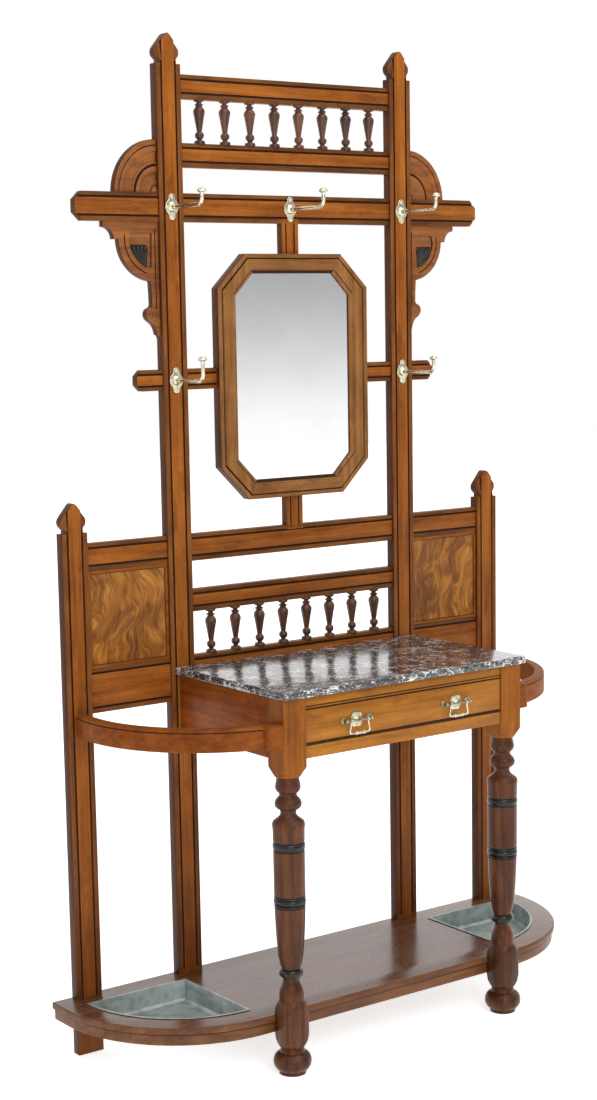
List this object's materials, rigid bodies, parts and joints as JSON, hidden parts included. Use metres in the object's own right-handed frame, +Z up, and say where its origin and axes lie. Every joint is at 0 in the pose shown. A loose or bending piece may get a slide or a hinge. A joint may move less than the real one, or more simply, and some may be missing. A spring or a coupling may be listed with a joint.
{
  "type": "hall tree with hooks",
  "caption": "Walnut hall tree with coat hooks, an octagonal mirror, turned galleries, a marble top over a drawer, curved umbrella rails and a shelf with lift-out drip trays.",
  "frame": {"origin": "middle of the footprint box, on the floor", "axes": "+Z up, +Y towards the wall behind, +X to the right as seen from the front"},
  "size_m": [1.286, 0.422, 2.134],
  "materials": {
    "walnut": "french polished, straight grained, warm brown",
    "dark_walnut": "french polished, darker and redder, with ebonised bands",
    "burr": "french polished burr veneer, golden with dark swirls",
    "deal": "unpolished softwood",
    "brass": "pale, lightly tarnished",
    "mirror": "silvered plate glass",
    "marble": "polished dark grey-brown marble with white flecks, opaque",
    "zinc": "galvanised sheet, dull grey-green"
  },
  "bodies": {
    "stand": {"stile_inner_left": "walnut", "stile_inner_right": "walnut", "stile_outer_left": "walnut", "stile_outer_right": "walnut", "top_rail": "walnut", "upper_gallery_rail": "walnut", "hook_rail": "walnut", "waist_rail": "walnut", "lower_gallery_rail": "walnut", "base_rail": "walnut", "upper_spindle_1": "dark_walnut", "upper_spindle_2": "dark_walnut", "upper_spindle_3": "dark_walnut", "upper_spindle_4": "dark_walnut", "upper_spindle_5": "dark_walnut", "upper_spindle_6": "dark_walnut", "upper_spindle_7": "dark_walnut", "upper_spindle_8": "dark_walnut", "lower_spindle_1": "dark_walnut", "lower_spindle_2": "dark_walnut", "lower_spindle_3": "dark_walnut", "lower_spindle_4": "dark_walnut", "lower_spindle_5": "dark_walnut", "lower_spindle_6": "dark_walnut", "lower_spindle_7": "dark_walnut", "lower_spindle_8": "dark_walnut", "mirror_frame": "dark_walnut", "mirror_plate": "mirror", "mirror_back_board": "deal", "mirror_arm_left": "walnut", "mirror_arm_right": "walnut", "mirror_hanger_upper": "walnut", "mirror_hanger_lower": "walnut", "bracket_left": "walnut", "bracket_right": "walnut", "burr_panel_left": "burr", "burr_panel_right": "burr", "hook_upper_middle": "brass", "hook_upper_left": "brass", "hook_upper_right": "brass", "hook_lower_left": "brass", "hook_lower_right": "brass", "front_leg_left": "dark_walnut", "front_leg_right": "dark_walnut", "marble_top": "marble", "case_rail_upper": "walnut", "case_rail_lower": "walnut", "umbrella_rail_left": "walnut", "umbrella_rail_right": "walnut", "shelf": "walnut", "case_side_left": "dark_walnut", "case_side_right": "dark_walnut"},
    "drawer": {"drawer_front": "walnut", "drawer_box": "deal", "pull_left": "brass", "pull_right": "brass"},
    "bail_left": {"bail_left": "brass"},
    "bail_right": {"bail_right": "brass"},
    "tray_left": {"drip_tray_left": "zinc"},
    "tray_right": {"drip_tray_right": "zinc"}
  },
  "joints": [
    {"name": "drawer_slide", "type": "slide", "parent": "stand", "child": "drawer", "axis": [0, -1, 0], "range_m": [0, 0.24]},
    {"name": "bail_left_swing", "type": "hinge", "parent": "drawer", "child": "bail_left", "pos_m": [-0.134, -0.2065, 0.729], "axis": [-1, 0, 0], "range_deg": [0, 90]},
    {"name": "bail_right_swing", "type": "hinge", "parent": "drawer", "child": "bail_right", "pos_m": [0.134, -0.2065, 0.729], "axis": [-1, 0, 0], "range_deg": [0, 90]},
    {"name": "drip_tray_left_lift", "type": "slide", "parent": "stand", "child": "tray_left", "axis": [0, 0, 1], "range_m": [0, 0.12]},
    {"name": "drip_tray_right_lift", "type": "slide", "parent": "stand", "child": "tray_right", "axis": [0, 0, 1], "range_m": [0, 0.12]}
  ]
}
